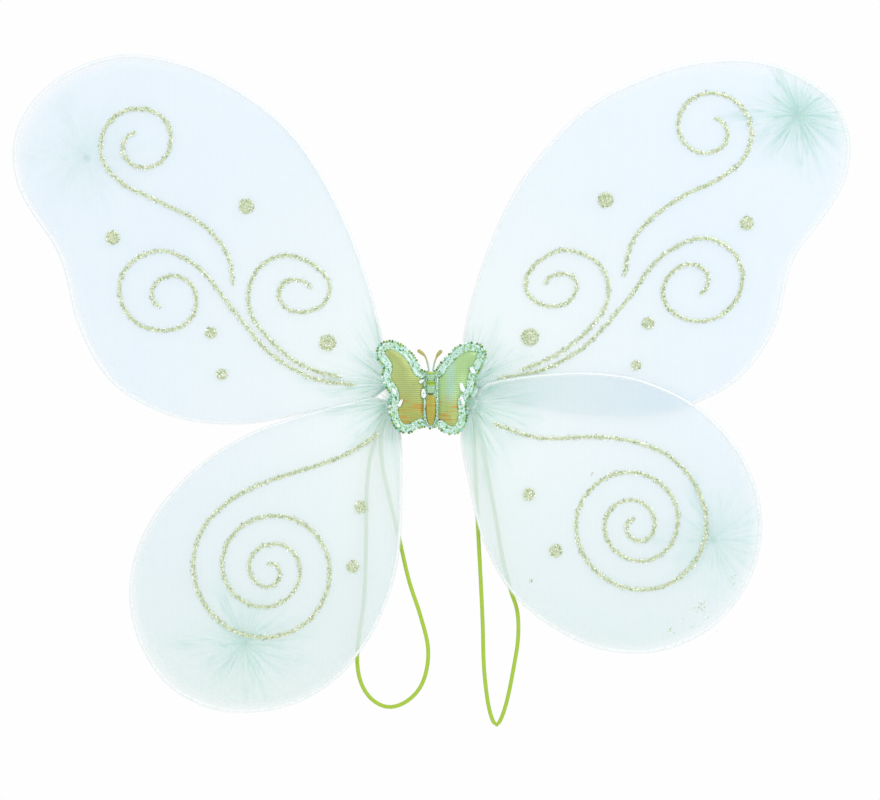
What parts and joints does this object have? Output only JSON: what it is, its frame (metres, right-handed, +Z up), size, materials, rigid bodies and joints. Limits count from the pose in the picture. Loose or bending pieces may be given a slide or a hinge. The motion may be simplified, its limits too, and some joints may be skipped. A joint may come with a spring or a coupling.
{
  "type": "fairy wings",
  "caption": "Wearable fairy wings: sheer nylon sleeves on wire frames with glitter swirls, gathered behind a padded butterfly, with elastic arm loops.",
  "frame": {"origin": "middle of the felt pad's outer face, which rests on the wearer's back", "axes": "+X along the wingspan, to the right seen from the decorated side; +Z up as worn; +Y towards the wearer, so the decorated side faces -Y"},
  "size_m": [0.4599, 0.0232, 0.3686],
  "materials": {
    "white_wire": "satin",
    "upper_nylon": "matte",
    "lower_nylon": "matte",
    "mint_tie": "matte",
    "gold_glitter": "gloss",
    "mint_thread": "matte",
    "lime_elastic": "satin",
    "white_felt": "matte",
    "mint_trim": "satin",
    "gold_lame": "gloss",
    "green_lame": "gloss",
    "amber_lame": "gloss",
    "gold_cord": "satin"
  },
  "bodies": {
    "centre": {"back_pad": "white_felt", "core_binding": "mint_thread", "butterfly_backing": "white_felt", "butterfly_left_border": "mint_trim", "butterfly_left_panel": "gold_lame", "butterfly_right_border": "mint_trim", "butterfly_right_panel": "green_lame", "butterfly_head": "amber_lame", "butterfly_abdomen": "amber_lame", "left_antenna": "gold_cord", "right_antenna": "gold_cord"},
    "left_pair": {"left_root_binding": "mint_thread"},
    "left_upper_wing": {"left_upper_wire": "white_wire", "left_upper_sleeve": "upper_nylon", "left_upper_tip_tie": "mint_tie", "left_upper_swirl_1": "gold_glitter", "left_upper_swirl_2": "gold_glitter", "left_upper_swirl_3": "gold_glitter", "left_upper_dot_1": "gold_glitter", "left_upper_dot_2": "gold_glitter", "left_upper_dot_3": "gold_glitter", "left_upper_dot_4": "gold_glitter", "left_upper_dot_5": "gold_glitter"},
    "left_lower_wing": {"left_lower_wire": "white_wire", "left_lower_sleeve": "lower_nylon", "left_lower_tip_tie": "mint_tie", "left_lower_swirl_1": "gold_glitter", "left_lower_dot_1": "gold_glitter", "left_lower_dot_2": "gold_glitter"},
    "left_arm_loop": {"left_elastic_knot": "lime_elastic", "left_elastic_loop": "lime_elastic"},
    "right_pair": {"right_root_binding": "mint_thread"},
    "right_upper_wing": {"right_upper_wire": "white_wire", "right_upper_sleeve": "upper_nylon", "right_upper_tip_tie": "mint_tie", "right_upper_swirl_1": "gold_glitter", "right_upper_swirl_2": "gold_glitter", "right_upper_swirl_3": "gold_glitter", "right_upper_dot_1": "gold_glitter", "right_upper_dot_2": "gold_glitter", "right_upper_dot_3": "gold_glitter", "right_upper_dot_4": "gold_glitter", "right_upper_dot_5": "gold_glitter"},
    "right_lower_wing": {"right_lower_wire": "white_wire", "right_lower_sleeve": "lower_nylon", "right_lower_tip_tie": "mint_tie", "right_lower_swirl_1": "gold_glitter", "right_lower_dot_1": "gold_glitter", "right_lower_dot_2": "gold_glitter"},
    "right_arm_loop": {"right_elastic_knot": "lime_elastic", "right_elastic_loop": "lime_elastic"}
  },
  "joints": [
    {"name": "left_pair_fold", "type": "hinge", "parent": "centre", "child": "left_pair", "pos_m": [-0.0181, -0.0075, -0.003], "axis": [0, 0, 1], "range_deg": [-30, 25]},
    {"name": "left_upper_turn", "type": "hinge", "parent": "left_pair", "child": "left_upper_wing", "pos_m": [-0.0215, -0.0075, 0.002], "axis": [0, 1, 0], "range_deg": [-8, 8]},
    {"name": "left_lower_turn", "type": "hinge", "parent": "left_pair", "child": "left_lower_wing", "pos_m": [-0.0215, -0.0115, -0.008], "axis": [0, 1, 0], "range_deg": [-8, 18]},
    {"name": "left_loop_swing", "type": "hinge", "parent": "left_pair", "child": "left_arm_loop", "pos_m": [-0.026, -0.0074, -0.014], "axis": [1, 0, 0], "range_deg": [0, 90]},
    {"name": "right_pair_fold", "type": "hinge", "parent": "centre", "child": "right_pair", "pos_m": [0.0181, -0.0075, -0.003], "axis": [0, 0, -1], "range_deg": [-30, 25]},
    {"name": "right_upper_turn", "type": "hinge", "parent": "right_pair", "child": "right_upper_wing", "pos_m": [0.0215, -0.0075, 0.002], "axis": [0, -1, 0], "range_deg": [-8, 8]},
    {"name": "right_lower_turn", "type": "hinge", "parent": "right_pair", "child": "right_lower_wing", "pos_m": [0.0215, -0.0115, -0.008], "axis": [0, -1, 0], "range_deg": [-18, 8]},
    {"name": "right_loop_swing", "type": "hinge", "parent": "right_pair", "child": "right_arm_loop", "pos_m": [0.025, -0.0074, -0.014], "axis": [1, 0, 0], "range_deg": [0, 90]}
  ]
}
